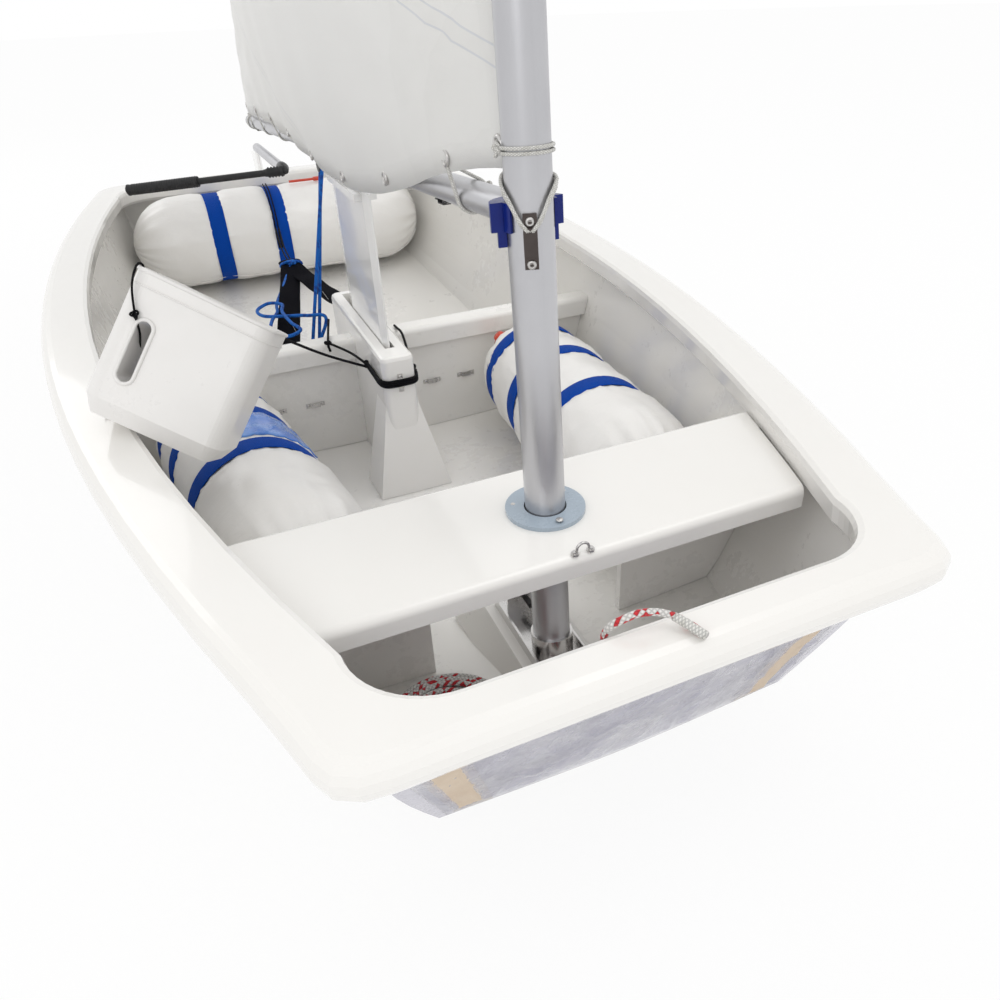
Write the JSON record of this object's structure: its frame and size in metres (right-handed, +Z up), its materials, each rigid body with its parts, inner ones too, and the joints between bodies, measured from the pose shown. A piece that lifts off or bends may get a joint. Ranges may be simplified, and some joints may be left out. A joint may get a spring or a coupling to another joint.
{
  "type": "sailing dinghy",
  "caption": "Small pram-bowed sailing dinghy afloat, sprit rigged, with daggerboard, rudder, tiller with extension, buoyancy bags and bailer.",
  "frame": {"origin": "on the centreline at mid length of the hull, at the waterline", "axes": "+X to port, +Y aft, +Z up"},
  "size_m": [1.1256, 2.56, 3.7138],
  "materials": {
    "hull_plastic": "glossy",
    "flange_plastic": "glossy",
    "stainless": "brushed",
    "black_plastic": "matte",
    "bag_vinyl": "satin",
    "webbing": "woven",
    "dark_webbing": "woven",
    "red_plastic": "glossy",
    "white_plastic": "glossy",
    "jug_plastic": "translucent",
    "rope": "braided",
    "aluminium": "anodised",
    "navy_plastic": "glossy",
    "sailcloth": "smooth",
    "foil_paint": "glossy",
    "extension_grip": "matte"
  },
  "bodies": {
    "hull": {"hull_bottom": "hull_plastic", "hull_side_port": "hull_plastic", "hull_side_starboard": "hull_plastic", "bow_transom": "hull_plastic", "stern_transom": "hull_plastic", "side_deck_port": "hull_plastic", "side_deck_starboard": "hull_plastic", "bow_deck": "hull_plastic", "stern_deck": "hull_plastic", "mast_thwart": "hull_plastic", "mast_bulkhead": "hull_plastic", "midship_frame": "hull_plastic", "daggerboard_case": "hull_plastic", "mast_flange": "flange_plastic", "mast_step_pad": "hull_plastic", "mast_step": "stainless", "mast_step_knob": "black_plastic", "wire_eye": "stainless", "eye_straps": "black_plastic", "airbag_port": "bag_vinyl", "airbag_starboard": "bag_vinyl", "airbag_stern": "bag_vinyl", "airbag_straps": "webbing", "inflation_tubes": "red_plastic", "hiking_straps": "dark_webbing", "rudder_gudgeons": "stainless", "drain_plugs": "white_plastic", "floor_block": "black_plastic", "bailer": "jug_plastic", "painter": "rope", "painter_coil": "rope"},
    "mast": {"mast": "aluminium", "mast_cap": "black_plastic", "mast_eye_strap": "black_plastic"},
    "boom": {"boom": "aluminium", "boom_jaws": "navy_plastic", "boom_fittings": "black_plastic", "sprit": "aluminium", "sail": "sailcloth"},
    "daggerboard": {"daggerboard": "foil_paint", "board_stops": "foil_paint"},
    "rudder": {"rudder_blade": "foil_paint", "rudder_pintles": "stainless", "tiller": "aluminium"},
    "extension": {"tiller_extension": "extension_grip"}
  },
  "joints": [
    {"name": "mast_turn", "type": "hinge", "parent": "hull", "child": "mast", "pos_m": [0, -0.86, 0.265], "axis": [0, 0.0698, 0.9976], "range_deg": [-85, 85]},
    {"name": "boom_swing", "type": "hinge", "parent": "hull", "child": "boom", "pos_m": [0, -0.86, 0.265], "axis": [0, 0.0698, 0.9976], "range_deg": [-85, 85]},
    {"name": "board_slide", "type": "slide", "parent": "hull", "child": "daggerboard", "axis": [0, 0, 1], "range_m": [-0.24, 0]},
    {"name": "rudder_turn", "type": "hinge", "parent": "hull", "child": "rudder", "pos_m": [0, 1.14776, 0.05345], "axis": [0, 0.1035, 0.9946], "range_deg": [-60, 60]},
    {"name": "extension_swing", "type": "hinge", "parent": "rudder", "child": "extension", "pos_m": [0, 0.685, 0.377], "axis": [0, 0, 1], "range_deg": [-10, 230]}
  ],
  "couplings": [
    {"joint": "boom_swing", "follows": "mast_turn", "ratio": 1}
  ]
}
